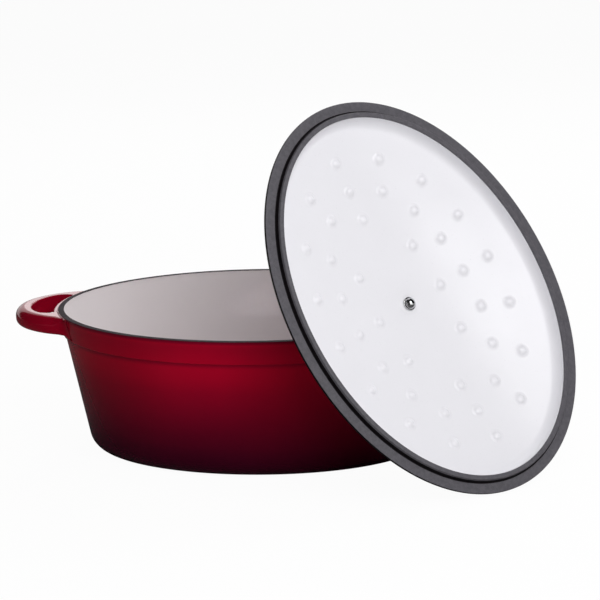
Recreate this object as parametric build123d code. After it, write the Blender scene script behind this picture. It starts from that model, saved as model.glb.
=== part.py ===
from build123d import *

import os
from math import cos, hypot, radians, sin, sqrt, tan

# Oval enamelled cast iron casserole with its lid taken off and leaning against it.
# Millimetres, +Z up, +X along the pot's length, origin at the middle of the pot's underside.

# ---------------------------------------------------------------- pot casting
RIM_LENGTH = 310.0  # over the rim, without the handles
RIM_WIDTH = 232.5
POT_HEIGHT = 111.0
WALL = 4.2  # wall, and the width of the flat rim
BASE_THICKNESS = 5.0
WALL_DRAFT = 10.7  # degrees, so that the casting leaves its mould
BASE_CORNER = 15.0  # outer radius where wall meets base
FLOOR_CORNER = 17.0  # the same corner inside
COLLAR_HEIGHT = 18.3  # thickened band under the rim
COLLAR_STEP = 1.2  # how far the band stands out of the wall below it
RIM_EASE = 0.6  # rounding on the rim's two edges

# ---------------------------------------------------------------- loop handles, cast with the pot
HANDLE_REACH = 36.0  # from the rim's end to the handle's tip
HANDLE_LENGTH = 62.0  # half length of the oval that the loop's outline follows
HANDLE_WIDTH = 101.0
HANDLE_THICKNESS = 13.4
HANDLE_DROP = 1.4  # top face below the rim
HANDLE_BAR = 12.6  # width of the loop at its tip
HANDLE_SHOULDER = 7.0  # rounding of the loop's outer edge on top
HANDLE_EDGE = 4.5  # the same underneath
HANDLE_ROOT = 11.0  # plan radius where the loop runs into the collar
HANDLE_THROAT = 3.0  # radius under the loop, where it meets the collar
GRIP_LAND = 3.6  # metal between the rim and the grip hole
GRIP_LENGTH = 57.0
GRIP_RADIUS = 36.0  # outer side of the hole
GRIP_CORNER = 5.5
GRIP_EDGE = 1.8  # rounding of the hole's edges

# ---------------------------------------------------------------- lid casting
LID_OVERHANG = 0.4  # lid's edge beyond the rim, all round
FLANGE_WIDTH = 8.2  # flat seat that lies on the rim
FLANGE_THICKNESS = 4.4
FLANGE_EASE = 0.7  # rounding of the seat's outer edge
SHOULDER_EASE = 2.8  # rounding of the same edge on the top side
LIP_HEIGHT = 4.3  # ridge that drops inside the rim
LIP_WIDTH = 4.8  # at the ridge's root
LIP_SLOPE = 1.4  # how far the ridge's outer side leans in over its height
LIP_EASE = 0.7
DISH_RIM_DEPTH = 5.5  # underside above the seat, next to the ridge
DISH_DEPTH = 22.4  # the same at the middle
DISH_COVE = 9.0  # radius between the ridge's inner side and the dished underside
LID_WALL = 4.5
DOME_CORNER = 9.0  # rounding of the dome's outer corner
DOME_FOOT = 2.5  # radius where the dome meets the flange

# Basting bumps: ovals of small domes on the underside, from which the condensate drips.
BUMP_DIAMETER = 8.0
BUMP_HEIGHT = 1.7
OUTER_RINGS = ((39.7, 16), (62.4, 16))  # inset from the lid's edge, count at even steps along the oval
INNER_RING_INSET = 84.8
INNER_RING_ANGLES = (0, 60, 90, 120, 180, 240, 270, 300)  # degrees, closer together at the sides

# ---------------------------------------------------------------- knob and its screw
KNOB_PAD = (30.0, 0.8)  # flat seat on the lid's crown: diameter, rise
WASHER_PAD = (14.0, 0.3)  # flat seat on its underside
SCREW_DIAMETER = 5.0
SCREW_CLEARANCE = 0.4  # all round, in the lid and in the knob's foot
THREAD_CLEARANCE = 0.05  # all round, in the threaded bush
SCREW_HEAD = (8.4, 3.6)  # diameter, height
SCREW_BRIM = 1.4  # straight side of the head, under its dome
SCREW_ENGAGEMENT = 9.0  # length taken up in the bush
WASHER = (10.4, 1.2)  # diameter, thickness
KNOB_DIAMETER = 42.0
KNOB_HEIGHT = 25.0
KNOB_PLATE_LEVEL = 12.5  # underside of the plate that closes the cap
KNOB_PLATE = 1.6
KNOB_SPIGOT = 2.0  # how far the plate's step reaches up inside the cap
KNOB_SHEET = 1.4  # stainless sheet of the cap
KNOB_FIT = 0.1  # round the plate's step and round the bush
CAP_CROWN = 4.0  # rise of the cap's domed top
CAP_CORNER = 5.0
KNOB_NECK_DIAMETER = 17.0
KNOB_FOOT_DIAMETER = 25.0
KNOB_FOOT = 3.0  # thickness of the foot, and the floor under the bush
BUSH_ACROSS_FLATS = 9.0

# ---------------------------------------------------------------- how the lid leans on the pot
LID_TURN = 43.9  # degrees about +Z, of the level line in the lid's plane
LID_LEAN = 26.0  # degrees back from upright
LID_SPIN = 107.3  # degrees in the lid's plane, from the level line to the lid's length
LID_ALONG = 48.1  # lid's centre along the level line, from the pot's centre
LEAN_GAP = 0.3  # left between the leaning lid and the pot
LEAN_STEP = 0.05  # accuracy of that gap
LEAN_POINTS = (0.05, 0.12)  # how close the surface points lie that the lid is held off: mm, radians

# ---------------------------------------------------------------- sizes that follow
RIM_HALF = (RIM_LENGTH / 2, RIM_WIDTH / 2)
HANDLE_TIP = RIM_HALF[0] + HANDLE_REACH
HANDLE_TOP = POT_HEIGHT - HANDLE_DROP
LID_HALF = (RIM_HALF[0] + LID_OVERHANG, RIM_HALF[1] + LID_OVERHANG)
DISH_INSET = FLANGE_WIDTH + LIP_WIDTH
DISH_HALF = (LID_HALF[0] - DISH_INSET, LID_HALF[1] - DISH_INSET)
DOME_HALF = (DISH_HALF[0] + LID_WALL, DISH_HALF[1] + LID_WALL)
CROWN = DISH_DEPTH + LID_WALL
KNOB_SEAT = CROWN + KNOB_PAD[1]
WASHER_SEAT = DISH_DEPTH - WASHER_PAD[1]
BUSH_FLOOR = KNOB_SEAT + KNOB_FOOT
PLATE_TOP = KNOB_SEAT + KNOB_PLATE_LEVEL + KNOB_PLATE
LEAN_BAND = HANDLE_TOP - HANDLE_THICKNESS  # the lid leans on the rim or a handle, above this height


# ---------------------------------------------------------------- forms that several pieces share
def oval(half, inset=0.0, z=0.0):
    """Flat elliptical face at height z, its outline drawn in by inset all round."""
    return Pos(0, 0, z) * Ellipse(half[0] - inset, half[1] - inset)


def oval_taper(half, low, high):
    """Oval solid between two levels, each given as (z, inset)."""
    return loft([oval(half, low[1], low[0]), oval(half, high[1], high[0])], ruled=True)


def arc_radius(chord_half, rise):
    """Radius of the arc that rises by rise over a half chord."""
    return (chord_half**2 + rise**2) / (2 * rise)


def oval_dome(half, bottom, rim, crown, corner):
    """Oval solid whose side ends at height rim and whose domed top reaches crown in the middle."""
    radius = arc_radius(half[0], crown - rim)
    side = Pos(half[0] / 2, (bottom + crown) / 2) * Rectangle(half[0], crown - bottom)
    section = side & Pos(0, crown - radius) * Circle(radius)
    section = fillet(section.vertices().sort_by(Axis.Y)[2], corner)
    return scale(revolve(Plane.XZ * section, Axis.Z), (1, half[1] / half[0], 1))


def disc(diameter, low, high):
    """Upright round solid between two heights."""
    return Pos(0, 0, low) * extrude(Circle(diameter / 2), high - low)


def turned(outline):
    """Solid of revolution about Z from (radius, height) corners."""
    return revolve(Plane.XZ * make_face(Polyline(*outline, close=True)), Axis.Z)


def lowest(shapes):
    return shapes.group_by(Axis.Z)[0]


def highest(shapes):
    return shapes.group_by(Axis.Z)[-1]


# ---------------------------------------------------------------- pot
def wall_inset(z):
    """How far the outer side has drawn in at height z, from the rim's outline."""
    return (POT_HEIGHT - z) * tan(radians(WALL_DRAFT))


def pot_outside():
    """Drafted body with a rounded base corner, and the collar that stands out under the rim."""
    band = POT_HEIGHT - COLLAR_HEIGHT
    body = oval_taper(RIM_HALF, (0, wall_inset(0) + COLLAR_STEP), (band, wall_inset(band) + COLLAR_STEP))
    body = fillet(lowest(body.edges()), BASE_CORNER)
    return body + oval_taper(RIM_HALF, (band, wall_inset(band)), (POT_HEIGHT, 0))


def pot_cavity():
    """Inside of the pot, one wall in from the outside and a little taller than the rim."""
    above = POT_HEIGHT + WALL
    low = (BASE_THICKNESS, wall_inset(BASE_THICKNESS) + COLLAR_STEP + WALL)
    cavity = oval_taper(RIM_HALF, low, (above, wall_inset(above) + WALL))
    return fillet(lowest(cavity.edges()), FLOOR_CORNER)


def handle_plan():
    """Outline of the loop at the +X end, run into the collar, without its grip hole."""
    lug = Pos(HANDLE_TIP - HANDLE_LENGTH, 0) * Ellipse(HANDLE_LENGTH, HANDLE_WIDTH / 2)
    buried = wall_inset(HANDLE_TOP - HANDLE_THICKNESS)
    plan = lug + oval(RIM_HALF, buried)
    roots = plan.vertices().filter_by(lambda v: v.X > RIM_HALF[0] / 2)
    outboard = Pos(RIM_HALF[0], 0) * Rectangle(RIM_HALF[0], RIM_WIDTH)
    return fillet(roots, HANDLE_ROOT) & outboard


def grip_plan():
    """Grip hole: round outside, straight at its ends, and following the rim's curve inside."""
    rim_end = RIM_HALF[1] ** 2 / RIM_HALF[0]  # radius of the rim's oval at its end
    outside = Pos(HANDLE_TIP - HANDLE_BAR - GRIP_RADIUS, 0) * Circle(GRIP_RADIUS)
    across = Pos(RIM_HALF[0], 0) * Rectangle(RIM_HALF[0], GRIP_LENGTH)
    inside = Pos(RIM_HALF[0] - rim_end, 0) * Circle(rim_end + GRIP_LAND)
    hole = (outside & across) - inside
    return fillet(hole.vertices(), GRIP_CORNER)


def handle():
    """Loop handle at the +X end, its inner end reaching into the pot."""
    loop = extrude(handle_plan(), HANDLE_THICKNESS)
    for edges, radius in ((highest, HANDLE_SHOULDER), (lowest, HANDLE_EDGE)):
        inner_end = loop.faces().sort_by(Axis.X)[0].edges()
        loop = fillet(edges(loop.edges()).filter_by(lambda edge: edge not in inner_end), radius)
    grip = Pos(0, 0, -1) * extrude(grip_plan(), HANDLE_THICKNESS + 2)
    pierced = loop - grip
    pierced = fillet(new_edges(loop, grip, combined=pierced), GRIP_EDGE)
    return Pos(0, 0, HANDLE_TOP - HANDLE_THICKNESS) * pierced


def make_pot():
    """Pot and its two handles, one casting."""
    outside, cavity, right = pot_outside(), pot_cavity(), handle()
    outside = fillet(highest(outside.edges()), RIM_EASE)
    left = mirror(right, Plane.YZ)
    joined = outside + right + left
    joined = fillet(lowest(new_edges(outside, right, left, combined=joined)), HANDLE_THROAT)
    pot = joined - cavity
    return fillet(highest(new_edges(joined, cavity, combined=pot)), RIM_EASE)


# ---------------------------------------------------------------- lid, modelled closed: seat at z = 0, dome up
def dome_height(half, rim, crown, x, y):
    """Height over the point (x, y) of a domed top that oval_dome would make."""
    radius = arc_radius(half[0], crown - rim)
    reach = hypot(x, y * half[0] / half[1])
    return crown - radius + sqrt(radius**2 - reach**2)


def underside(x, y):
    """Height of the dished underside over the point (x, y)."""
    return dome_height(DISH_HALF, DISH_RIM_DEPTH, DISH_DEPTH, x, y)


def bump_places():
    """Points (x, y) of the basting bumps, ring by ring."""
    places = []
    for inset, count in OUTER_RINGS:
        ring = oval(LID_HALF, inset).edges()[0]
        places += [(ring @ (i / count)) for i in range(count)]
    a, b = LID_HALF[0] - INNER_RING_INSET, LID_HALF[1] - INNER_RING_INSET
    places += [Vector(a * cos(radians(t)), b * sin(radians(t))) for t in INNER_RING_ANGLES]
    return [(p.X, p.Y) for p in places]


def bumps():
    """Half balls sunk into the metal so that BUMP_HEIGHT of each stands out of the underside."""
    radius = arc_radius(BUMP_DIAMETER / 2, BUMP_HEIGHT)
    ball = Sphere(radius, arc_size1=-90, arc_size2=0, align=(Align.CENTER, Align.CENTER, Align.MAX))
    return [Pos(x, y, underside(x, y) + radius - BUMP_HEIGHT) * ball for x, y in bump_places()]


def make_lid():
    """Domed lid with its flat seat, locating ridge, basting bumps and screw hole."""
    plate = extrude(oval(LID_HALF), FLANGE_THICKNESS)
    plate = fillet(highest(plate.edges()), SHOULDER_EASE)
    plate = fillet(lowest(plate.edges()), FLANGE_EASE)
    dome = oval_dome(DOME_HALF, 0, DISH_RIM_DEPTH + LID_WALL, CROWN, DOME_CORNER)
    shell = plate + dome
    shell = fillet(new_edges(plate, dome, combined=shell), DOME_FOOT)
    ridge = oval_taper(LID_HALF, (-LIP_HEIGHT, FLANGE_WIDTH + LIP_SLOPE), (0, FLANGE_WIDTH))
    shell += fillet(lowest(ridge.edges()), LIP_EASE)
    shell += disc(KNOB_PAD[0], CROWN - KNOB_PAD[1], KNOB_SEAT)
    shell -= oval_dome(DISH_HALF, -LIP_HEIGHT, DISH_RIM_DEPTH, DISH_DEPTH, DISH_COVE)
    shell += bumps() + [disc(WASHER_PAD[0], WASHER_SEAT, CROWN)]
    return shell - disc(SCREW_DIAMETER + 2 * SCREW_CLEARANCE, 0, KNOB_SEAT)


# ---------------------------------------------------------------- knob
def make_knob_cap():
    """Pressed stainless cap with a gently domed top."""
    half = (KNOB_DIAMETER / 2, KNOB_DIAMETER / 2)
    bore = (half[0] - KNOB_SHEET, half[1] - KNOB_SHEET)
    top = KNOB_SEAT + KNOB_HEIGHT
    outside = oval_dome(half, PLATE_TOP, top - CAP_CROWN, top, CAP_CORNER)
    inside_top = top - KNOB_SHEET
    return outside - oval_dome(bore, PLATE_TOP, inside_top - CAP_CROWN, inside_top, CAP_CORNER - KNOB_SHEET)


def make_knob_base():
    """Turned foot, neck and plate, with a hexagonal pocket for the bush."""
    foot, neck = KNOB_FOOT_DIAMETER / 2, KNOB_NECK_DIAMETER / 2
    plate, step = KNOB_DIAMETER / 2, KNOB_DIAMETER / 2 - KNOB_SHEET - KNOB_FIT
    plate_low = KNOB_SEAT + KNOB_PLATE_LEVEL
    waist = turned([(0, KNOB_SEAT), (foot, KNOB_SEAT), (foot, BUSH_FLOOR), (neck, BUSH_FLOOR), (neck, plate_low),
                    (plate, plate_low), (plate, PLATE_TOP), (0, PLATE_TOP)])
    waist = fillet([e for e in waist.edges().filter_by(GeomType.CIRCLE) if abs(e.radius - neck) < 0.01], neck / 4)
    waist += disc(2 * step, PLATE_TOP, PLATE_TOP + KNOB_SPIGOT)
    pocket = RegularPolygon(BUSH_ACROSS_FLATS / 2 + KNOB_FIT, 6, major_radius=False)
    waist -= Pos(0, 0, BUSH_FLOOR) * extrude(pocket, PLATE_TOP + KNOB_SPIGOT - BUSH_FLOOR)
    return waist - disc(SCREW_DIAMETER + 2 * SCREW_CLEARANCE, KNOB_SEAT, BUSH_FLOOR)


def make_knob_bush():
    """Hexagonal threaded bush that the pocket keeps from turning."""
    blank = extrude(RegularPolygon(BUSH_ACROSS_FLATS / 2, 6, major_radius=False), PLATE_TOP - BUSH_FLOOR)
    bush = Pos(0, 0, BUSH_FLOOR) * blank
    return bush - disc(SCREW_DIAMETER + 2 * THREAD_CLEARANCE, BUSH_FLOOR, PLATE_TOP)


def make_lid_screw():
    """Screw with a plain domed head, from inside the lid up into the bush."""
    under_head = WASHER_SEAT - WASHER[1]
    radius = SCREW_HEAD[0] / 2
    ball = arc_radius(radius, SCREW_HEAD[1] - SCREW_BRIM)
    head = disc(SCREW_HEAD[0], under_head - SCREW_HEAD[1], under_head)
    head &= Pos(0, 0, under_head - SCREW_HEAD[1] + ball) * Sphere(ball) + disc(
        SCREW_HEAD[0], under_head - SCREW_BRIM, under_head)
    return head + disc(SCREW_DIAMETER, under_head, BUSH_FLOOR + SCREW_ENGAGEMENT)


def make_screw_washer():
    washer = disc(WASHER[0], WASHER_SEAT - WASHER[1], WASHER_SEAT)
    return washer - disc(SCREW_DIAMETER + 2 * SCREW_CLEARANCE, WASHER_SEAT - WASHER[1], WASHER_SEAT)


# ---------------------------------------------------------------- assembly
def away_from_pot():
    """Level direction in which the leaning lid's inner side faces."""
    return Vector(sin(radians(LID_TURN)), -cos(radians(LID_TURN)), 0)


def leaning_plane():
    """Frame of the leaning lid's seat, dome side up, its centre level with the pot's base."""
    turn, lean, spin = radians(LID_TURN), radians(LID_LEAN), radians(LID_SPIN)
    level, away = Vector(cos(turn), sin(turn), 0), away_from_pot()
    upslope = away * -sin(lean) + Vector(0, 0, cos(lean))
    dome_side = away * -cos(lean) - Vector(0, 0, sin(lean))
    return Plane(origin=level * LID_ALONG, x_dir=level * cos(spin) + upslope * sin(spin), z_dir=dome_side)


def lid_reach(z):
    """Radius about the knob's axis that the pad, foot or cap fills at height z."""
    if z < KNOB_SEAT + LEAN_GAP:
        return KNOB_PAD[0] / 2
    if z < KNOB_SEAT + KNOB_PLATE_LEVEL - LEAN_GAP:
        return KNOB_FOOT_DIAMETER / 2
    return KNOB_DIAMETER / 2


def foot_height(x, y):
    """Height that the radius at the dome's foot adds to the flange over the point (x, y)."""
    oval_reach = hypot(x / DOME_HALF[0], y / DOME_HALF[1])
    short_of_end = DOME_FOOT - hypot(x, y) * (1 - 1 / oval_reach)
    return DOME_FOOT - sqrt(DOME_FOOT**2 - short_of_end**2) if short_of_end > 0 else 0


def in_lid_space(x, y, z):
    """Whether a point in the lid's own frame is in the lid or knob, or nearer than LEAN_GAP."""
    if z > CROWN + LEAN_GAP:
        return hypot(x, y) < lid_reach(z) + LEAN_GAP and z < KNOB_SEAT + KNOB_HEIGHT + LEAN_GAP
    if hypot(x / DOME_HALF[0], y / DOME_HALF[1]) < 1:
        return 0 < z < dome_height(DOME_HALF, DISH_RIM_DEPTH + LID_WALL, CROWN, x, y) + LEAN_GAP
    if hypot(x / LID_HALF[0], y / LID_HALF[1]) < 1:
        return 0 < z < FLANGE_THICKNESS + foot_height(x, y) + LEAN_GAP
    return False


def resting_place(pot, lid):
    """Location that stands the lid on the floor and moves it out until it clears the pot."""
    plane = leaning_plane()
    plane.origin -= Vector(0, 0, lid.moved(plane.location).bounding_box().min.Z)
    surface = [point for point in pot.tessellate(*LEAN_POINTS)[0] if point.X > 0 and point.Z > LEAN_BAND]
    points = [tuple(plane.to_local_coords(point)) for point in set(surface)]
    away = away_from_pot()
    dx, dy, dz = away.dot(plane.x_dir), away.dot(plane.y_dir), away.dot(plane.z_dir)
    out = RIM_HALF[1]
    while any(in_lid_space(x - out * dx, y - out * dy, z - out * dz) for x, y, z in points):
        out += LEAN_STEP
    return Pos(*(away * out)) * plane.location


def main():
    pot, lid = make_pot(), make_lid()
    lid_pieces = {
        "lid": lid,
        "knob_cap": make_knob_cap(),
        "knob_base": make_knob_base(),
        "knob_bush": make_knob_bush(),
        "lid_screw": make_lid_screw(),
        "screw_washer": make_screw_washer(),
    }
    place = resting_place(pot, lid)
    os.makedirs("parts", exist_ok=True)
    export_step(pot, "parts/pot.step")
    for name, piece in lid_pieces.items():
        export_step(piece.moved(place), f"parts/{name}.step")


main()
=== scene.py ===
"""Looks of an oval enamelled cast iron casserole whose lid leans against its rim.

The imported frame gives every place: the pot stands with the middle of its underside at the origin, and the
lid's own frame has its seat at height nought and its dome upwards. All sizes are in metres.
"""

import logging
from collections.abc import Sequence
from dataclasses import dataclass, field, replace
from enum import Enum
from math import cos, pi, radians, sin, sqrt, tan

import bpy
import numpy as np
from mathutils import Matrix, Vector


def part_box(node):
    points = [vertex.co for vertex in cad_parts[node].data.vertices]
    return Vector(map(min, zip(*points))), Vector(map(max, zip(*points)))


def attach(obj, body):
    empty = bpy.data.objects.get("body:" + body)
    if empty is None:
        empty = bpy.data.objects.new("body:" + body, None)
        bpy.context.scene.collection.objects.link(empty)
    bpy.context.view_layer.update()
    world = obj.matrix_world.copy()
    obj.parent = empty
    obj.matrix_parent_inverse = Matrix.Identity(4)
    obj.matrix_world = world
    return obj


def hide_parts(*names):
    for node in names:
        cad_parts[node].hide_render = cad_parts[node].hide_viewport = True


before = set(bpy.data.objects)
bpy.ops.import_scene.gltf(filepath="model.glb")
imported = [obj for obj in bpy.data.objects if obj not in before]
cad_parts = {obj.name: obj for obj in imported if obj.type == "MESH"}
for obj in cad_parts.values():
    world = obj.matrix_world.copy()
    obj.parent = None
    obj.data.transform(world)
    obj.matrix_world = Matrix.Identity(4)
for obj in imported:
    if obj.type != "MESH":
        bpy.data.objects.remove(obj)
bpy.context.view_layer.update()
AXIS = 0.0001  # radius that a turned line starts and ends at, beside its axis
STRAIGHT = 1e-4  # half angle short of a right angle at which a corner needs no arc
SLACK = 1.01  # factor by which a run or a test reaches past the corner that it is named by
WINDOW = 1.2  # half width of the averaging that rounds a corner, as a share of its radius
DOME_FROM = 0.3  # share of its half length at which a dome's section starts
DOME_POINTS = (46, 16)  # points of a section's arc and of its corner
GLASS_IOR = 1.5

Array = np.ndarray
Pair = tuple[float, float]
Colour = tuple[float, float, float]
Socket = bpy.types.NodeSocket
Inputs = dict[str | int, object]
log = logging.getLogger("casserole")


# ---------------------------------------------------------------- lines and rings
class Zone(Enum):
    """Finish that a band of a casting takes; the value is its material slot."""

    OUTER_GLAZE = 0
    INNER_GLAZE = 1
    BARE_EDGE = 2
    # near-black band that paints shade
    PAINTED_SHADE = 3


def arc_about(centre: Array, start: Array, stop: Array, steps: int) -> Array:
    """Arc whose points are its centre plus its first spoke, turned by equal shares of the whole angle.

    Args:
        centre: centre of the arc.
        start: spoke from the centre to the first point.
        stop: spoke from the centre to the last point.
        steps: parts that the arc is divided into.

    Returns:
        Points, one row each.
    """
    sweep = np.arctan2(start[0] * stop[1] - start[1] * stop[0], start @ stop)
    turn = sweep * np.linspace(0, 1, steps + 1)
    return centre + np.stack([start[0] * np.cos(turn) - start[1] * np.sin(turn),
                              start[0] * np.sin(turn) + start[1] * np.cos(turn)], -1)


def rounded(corners: Sequence[tuple[float, float, float]], steps: int = 8) -> Array:
    """Line through the corners in which an arc tangent to both sides stands for each corner.

    An arc's centre lies on the corner's bisector, the radius away from both sides.

    Args:
        corners: (across, up, radius) of each corner; the two ends take radius 0.
        steps: parts that each arc is divided into.

    Returns:
        Points (across, up), one row each.
    """
    spots = np.array([corner[:2] for corner in corners], float)
    parts = [spots[:1]]
    for before, here, after, (*_, radius) in zip(spots, spots[1:], spots[2:], corners[1:-1]):
        to_before, to_after = before - here, after - here
        to_before, to_after = to_before / np.hypot(*to_before), to_after / np.hypot(*to_after)
        half = np.arccos(np.clip(to_before @ to_after, -1, 1)) / 2
        if radius == 0 or half > pi / 2 - STRAIGHT:
            parts.append(here[None])
            continue
        bisector = (to_before + to_after) / np.hypot(*(to_before + to_after))
        centre = here + bisector * radius / np.sin(half)
        first, last = (here + side * radius / np.tan(half) - centre for side in (to_before, to_after))
        parts.append(arc_about(centre, first, last, steps))
    return np.vstack([*parts, spots[-1:]])


def read_line(line: Array, along: Array, stops: Array) -> Array:
    """Points of a line at given distances along it, where along is the distance of each of its own points."""
    return np.stack([np.interp(stops, along, line[:, axis]) for axis in range(line.shape[1])], -1)


def spaced(line: Array, gap: float) -> Array:
    """The same line with more points on its straight runs.

    Each run is divided evenly into the fewest parts that are no longer than the gap, by reading the line at
    those distances along it.

    Args:
        line: points, one row each.
        gap: longest distance left between neighbours.

    Returns:
        Points, one row each.
    """
    runs = np.hypot(*np.diff(line, axis=0).T)
    along = np.concatenate([[0], np.cumsum(runs)])
    parts = np.maximum(np.ceil(runs / gap), 1).astype(int)
    run = np.repeat(np.arange(len(runs)), parts)
    first = np.concatenate([[0], np.cumsum(parts)[:-1]])
    share = (np.arange(parts.sum()) - first[run]) / parts[run]
    return read_line(line, along, np.append(along[run] + share * runs[run], along[-1]))


def evenly(closed: Array, count: int) -> Array:
    """Points at even steps of length along a closed line, whose last point is its first."""
    along = np.concatenate([[0], np.cumsum(np.hypot(*np.diff(closed, axis=0).T))])
    return read_line(closed, along, np.linspace(0, along[-1], count, endpoint=False))


def ramp(value: Array, low: float, high: float) -> Array:
    """Smooth step from 0 at low to 1 at high: three squares less two cubes of the share of the way."""
    share = np.clip((value - low) / (high - low), 0, 1)
    return share * share * (3 - 2 * share)


def arc_radius(chord_half: float, rise: float) -> float:
    """Radius of the arc that rises by rise over a half chord."""
    return (chord_half**2 + rise**2) / (2 * rise)


def dome_height(half: Pair, rim: float, crown: float, x: Array, y: Array) -> Array:
    """Height of an oval dome: a ball's cap from rim to crown, squeezed across to the oval's width.

    Args:
        half: half axes of the dome.
        rim: height of its edge.
        crown: height of its middle.
        x: places along it.
        y: places across it.

    Returns:
        Heights over (x, y).
    """
    radius = arc_radius(half[0], crown - rim)
    reach = np.hypot(x, y * half[0] / half[1])
    return crown - radius + np.sqrt(radius**2 - reach**2)


def oval_rings(across: Array, over: Array, up: Array, around: int) -> Array:
    """Stack of level ovals: x is across times cos t, y is over times sin t, and z is up, t in equal steps.

    Args:
        across: half length of each ring.
        over: half width of each ring.
        up: height of each ring.
        around: points round each ring.

    Returns:
        Points, (rings, around, 3).
    """
    t = np.arange(around) * 2 * pi / around
    level = np.broadcast_to(up[:, None], (len(up), around))
    return np.stack([across[:, None] * np.cos(t), over[:, None] * np.sin(t), level], -1)


def inset_rings(half: Pair, line: Array, around: int) -> Array:
    """Level ovals for a line of (inset, height), each inside the oval of the half axes by its inset."""
    return oval_rings(half[0] - line[:, 0], half[1] - line[:, 0], line[:, 1], around)


def share_rings(half: Pair, line: Array, around: int) -> Array:
    """Level ovals for a line of (share, height), each with that share of the half axes."""
    return oval_rings(half[0] * line[:, 0], half[1] * line[:, 0], line[:, 1], around)


def closing_rings(half: Pair, up: float, around: int, count: int = 14) -> Array:
    """Rings that shrink evenly from an oval to its middle at one height, so that a flat face can close."""
    shares = np.linspace(1, 0, count + 1)[1:-1]
    return share_rings(half, np.stack([shares, np.full(len(shares), up)], -1), around)


# ---------------------------------------------------------------- skins and meshes
@dataclass
class Skin:
    """Closed surface made of rings of points, and the finish of the band that follows each ring.

    Attributes:
        rings: points, (rings, around, 3).
        zones: slot number of the band after each ring, (rings,).
        looped: whether the last ring joins the first; if not, both ends close at a pole.
        tone: number at each point, (rings, around), that a finish may read.
    """

    rings: Array
    zones: Array
    looped: bool = False
    tone: Array | None = None

    def faces(self) -> tuple[Array, Array, Array]:
        """Corner numbers, first corner and slot of every face.

        Neighbouring points of two rings make a quad. At a pole, neighbouring points and the pole make a
        triangle. The faces are turned over if the volume that they enclose comes out negative.

        Returns:
            Corner numbers in a row, start of each face in that row, slot of each face.
        """
        rows, cols = self.rings.shape[:2]
        bands = np.arange(rows if self.looped else rows - 1)
        row, col = (grid.ravel() for grid in np.meshgrid(bands, np.arange(cols), indexing="ij"))
        start, start_below, beside = row * cols, (row + 1) % rows * cols, (col + 1) % cols
        quads = np.stack([start + col, start + beside, start_below + beside, start_below + col], -1)
        zones, fans = np.repeat(self.zones[bands], cols), np.zeros((0, 3), int)
        if not self.looped:
            here, last = np.arange(cols), (rows - 1) * cols
            first_fan = np.stack([(here + 1) % cols, here, np.full(cols, rows * cols)], -1)
            last_fan = np.stack([last + here, last + (here + 1) % cols, np.full(cols, rows * cols + 1)], -1)
            fans = np.vstack([first_fan, last_fan])
            zones = np.concatenate([zones, np.repeat(self.zones[[0, -1]], cols)])
        points = self.points()
        a, b, c, d = (points[quads[:, corner]] for corner in range(4))
        volume = np.einsum("ij,ij->", a, np.cross(b, c)) + np.einsum("ij,ij->", a, np.cross(c, d))
        if len(fans):
            a, b, c = (points[fans[:, corner]] for corner in range(3))
            volume += np.einsum("ij,ij->", a, np.cross(b, c))
        if volume < 0:
            quads, fans = quads[:, ::-1], fans[:, ::-1]
        corners = np.concatenate([quads.ravel(), fans.ravel()])
        starts = np.concatenate([np.arange(len(quads)) * 4, quads.size + np.arange(len(fans)) * 3])
        return corners, starts, zones

    def points(self) -> Array:
        """Every point, ring by ring, and then the two poles, each the middle of its end ring."""
        flat = self.rings.reshape(-1, 3)
        return flat if self.looped else np.vstack([flat, self.rings[0].mean(0), self.rings[-1].mean(0)])

    def tones(self) -> Array:
        """The tone of every point, in the same order.

        Returns:
            Tones, (points,).
        """
        if self.tone is None:
            return np.zeros(len(self.points()))
        flat = self.tone.ravel()
        return flat if self.looped else np.append(flat, [self.tone[0].mean(), self.tone[-1].mean()])


def turned(line: Array, around: int, looped: bool = False) -> Skin:
    """Solid of revolution about Z, in one finish, whose outline is a line of (radius, height)."""
    return Skin(share_rings((1, 1), line, around), np.zeros(len(line), int), looped)


def slab(radius: float, top: float, thick: float, around: int) -> Skin:
    """Flat round slab, thick below its top."""
    low = top - thick
    return turned(np.array([(radius / 2, top), (radius, top), (radius, low), (radius / 2, low)]), around)


def stood(name: str, data: bpy.types.ID) -> bpy.types.Object:
    """New object that stands in the scene with its data."""
    thing = bpy.data.objects.new(name, data)
    bpy.context.scene.collection.objects.link(thing)
    return thing


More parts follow.
